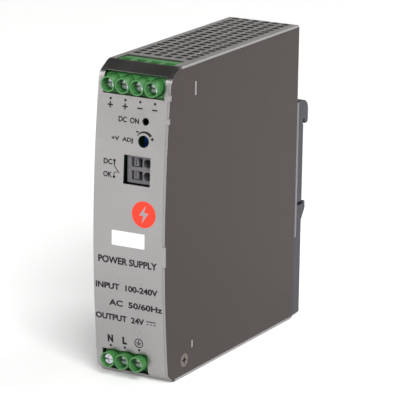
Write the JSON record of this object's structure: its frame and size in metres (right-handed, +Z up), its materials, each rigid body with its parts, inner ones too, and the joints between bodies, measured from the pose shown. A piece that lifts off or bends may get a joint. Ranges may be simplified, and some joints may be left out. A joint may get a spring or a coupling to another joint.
{
  "type": "din rail power supply",
  "caption": "Slim metal-cased switching power supply that clips onto a 35 mm mounting rail, with screw terminals above and below, a trimmer, an indicator and a signal contact.",
  "frame": {"origin": "below the middle of the whole object, at the level of the case's bottom", "axes": "+X to the right seen from the front, -Y out of the front, +Y towards the rail, +Z up"},
  "size_m": [0.032, 0.1196, 0.124],
  "materials": {
    "aluminium_bar": "extruded",
    "black_epoxy": "moulded",
    "board_green": "lacquered",
    "bracket_steel": "zinc plated",
    "cage_steel": "nickel plated",
    "can_sleeve": "sleeve",
    "case_steel": "satin plated",
    "clip_plastic": "moulded",
    "contact_brass": "tinned",
    "ferrite": "sintered",
    "film": "film",
    "fuse_glass": "ceramic",
    "green_plastic": "moulded",
    "grey_plastic": "moulded",
    "lamp": "clear",
    "pillar_brass": "turned",
    "relay_case": "moulded",
    "screw_steel": "nickel plated",
    "side_steel": "satin plated",
    "spring_steel": "bright",
    "trimmer_blue": "moulded",
    "trimmer_white": "moulded",
    "winding_tape": "tape",
    "yellow_box": "moulded"
  },
  "bodies": {
    "case": {"chassis": "case_steel", "side_plate": "side_steel", "cover_screw": "screw_steel", "output_terminal_housing": "green_plastic", "input_terminal_housing": "green_plastic", "output_contact_1": "contact_brass", "output_contact_2": "contact_brass", "output_contact_3": "contact_brass", "output_contact_4": "contact_brass", "input_contact_1": "contact_brass", "input_contact_2": "contact_brass", "input_contact_3": "contact_brass", "output_board": "board_green", "input_board": "board_green", "main_board": "board_green", "insulating_sheet": "film", "indicator_lamp": "lamp", "trimmer_body": "trimmer_blue", "signal_housing": "grey_plastic", "signal_clip_1": "spring_steel", "signal_clip_2": "spring_steel", "rail_bracket": "bracket_steel", "rail_foot": "clip_plastic", "foot_screw_1": "screw_steel", "foot_screw_2": "screw_steel", "board_pillar_1": "pillar_brass", "board_pillar_2": "pillar_brass", "pillar_screw_1": "screw_steel", "pillar_screw_2": "screw_steel", "bulk_capacitor": "can_sleeve", "output_capacitor_1": "can_sleeve", "output_capacitor_2": "can_sleeve", "input_choke": "ferrite", "output_choke": "ferrite", "filter_capacitor": "yellow_box", "rectifier": "black_epoxy", "fuse": "fuse_glass", "transformer_core": "ferrite", "transformer_winding": "winding_tape", "heat_spreader": "aluminium_bar", "signal_relay": "relay_case", "latch_spring": "spring_steel"},
    "output_screw_1": {"output_clamp_screw_1": "screw_steel"},
    "output_clamp_1": {"output_cage_1": "cage_steel"},
    "output_screw_2": {"output_clamp_screw_2": "screw_steel"},
    "output_clamp_2": {"output_cage_2": "cage_steel"},
    "output_screw_3": {"output_clamp_screw_3": "screw_steel"},
    "output_clamp_3": {"output_cage_3": "cage_steel"},
    "output_screw_4": {"output_clamp_screw_4": "screw_steel"},
    "output_clamp_4": {"output_cage_4": "cage_steel"},
    "input_screw_1": {"input_clamp_screw_1": "screw_steel"},
    "input_clamp_1": {"input_cage_1": "cage_steel"},
    "input_screw_2": {"input_clamp_screw_2": "screw_steel"},
    "input_clamp_2": {"input_cage_2": "cage_steel"},
    "input_screw_3": {"input_clamp_screw_3": "screw_steel"},
    "input_clamp_3": {"input_cage_3": "cage_steel"},
    "trimmer": {"trimmer_rotor": "trimmer_white"},
    "signal_release_1": {"signal_button_1": "grey_plastic"},
    "signal_release_2": {"signal_button_2": "grey_plastic"},
    "latch": {"rail_latch": "clip_plastic"}
  },
  "joints": [
    {"name": "output_screw_1_turn", "type": "hinge", "parent": "case", "child": "output_screw_1", "pos_m": [-0.00983, -0.05615, 0.1163], "axis": [0, 1, 0], "range_deg": [0, 1728]},
    {"name": "output_clamp_1_draw", "type": "slide", "parent": "case", "child": "output_clamp_1", "axis": [0, -1, 0], "range_m": [0, 0.0024]},
    {"name": "output_screw_2_turn", "type": "hinge", "parent": "case", "child": "output_screw_2", "pos_m": [-0.00347, -0.05615, 0.1163], "axis": [0, 1, 0], "range_deg": [0, 1728]},
    {"name": "output_clamp_2_draw", "type": "slide", "parent": "case", "child": "output_clamp_2", "axis": [0, -1, 0], "range_m": [0, 0.0024]},
    {"name": "output_screw_3_turn", "type": "hinge", "parent": "case", "child": "output_screw_3", "pos_m": [0.00287, -0.05615, 0.1163], "axis": [0, 1, 0], "range_deg": [0, 1728]},
    {"name": "output_clamp_3_draw", "type": "slide", "parent": "case", "child": "output_clamp_3", "axis": [0, -1, 0], "range_m": [0, 0.0024]},
    {"name": "output_screw_4_turn", "type": "hinge", "parent": "case", "child": "output_screw_4", "pos_m": [0.00923, -0.05615, 0.1163], "axis": [0, 1, 0], "range_deg": [0, 1728]},
    {"name": "output_clamp_4_draw", "type": "slide", "parent": "case", "child": "output_clamp_4", "axis": [0, -1, 0], "range_m": [0, 0.0024]},
    {"name": "input_screw_1_turn", "type": "hinge", "parent": "case", "child": "input_screw_1", "pos_m": [-0.00904, -0.05615, 0.0072], "axis": [0, 1, 0], "range_deg": [0, 1728]},
    {"name": "input_clamp_1_draw", "type": "slide", "parent": "case", "child": "input_clamp_1", "axis": [0, -1, 0], "range_m": [0, 0.0024]},
    {"name": "input_screw_2_turn", "type": "hinge", "parent": "case", "child": "input_screw_2", "pos_m": [-0.00269, -0.05615, 0.0072], "axis": [0, 1, 0], "range_deg": [0, 1728]},
    {"name": "input_clamp_2_draw", "type": "slide", "parent": "case", "child": "input_clamp_2", "axis": [0, -1, 0], "range_m": [0, 0.0024]},
    {"name": "input_screw_3_turn", "type": "hinge", "parent": "case", "child": "input_screw_3", "pos_m": [0.00366, -0.05615, 0.0072], "axis": [0, 1, 0], "range_deg": [0, 1728]},
    {"name": "input_clamp_3_draw", "type": "slide", "parent": "case", "child": "input_clamp_3", "axis": [0, -1, 0], "range_m": [0, 0.0024]},
    {"name": "trimmer_turn", "type": "hinge", "parent": "case", "child": "trimmer", "pos_m": [0.00547, -0.05055, 0.0956], "axis": [0, 1, 0], "range_deg": [-135, 135]},
    {"name": "signal_release_1_press", "type": "slide", "parent": "case", "child": "signal_release_1", "axis": [0, 1, 0], "range_m": [0, 0.0015], "stiffness_N_per_m": 400, "springref_m": -0.0015},
    {"name": "signal_release_2_press", "type": "slide", "parent": "case", "child": "signal_release_2", "axis": [0, 1, 0], "range_m": [0, 0.0015], "stiffness_N_per_m": 400, "springref_m": -0.0015},
    {"name": "latch_slide", "type": "slide", "parent": "case", "child": "latch", "axis": [0, 0, -1], "range_m": [0, 0.004], "stiffness_N_per_m": 600, "springref_m": -0.008, "deforming": ["latch_spring"]}
  ],
  "couplings": [
    {"joint": "output_screw_1_turn", "follows": "output_clamp_1_draw", "rad_per_m": 12566},
    {"joint": "output_screw_2_turn", "follows": "output_clamp_2_draw", "rad_per_m": 12566},
    {"joint": "output_screw_3_turn", "follows": "output_clamp_3_draw", "rad_per_m": 12566},
    {"joint": "output_screw_4_turn", "follows": "output_clamp_4_draw", "rad_per_m": 12566},
    {"joint": "input_screw_1_turn", "follows": "input_clamp_1_draw", "rad_per_m": 12566},
    {"joint": "input_screw_2_turn", "follows": "input_clamp_2_draw", "rad_per_m": 12566},
    {"joint": "input_screw_3_turn", "follows": "input_clamp_3_draw", "rad_per_m": 12566}
  ]
}
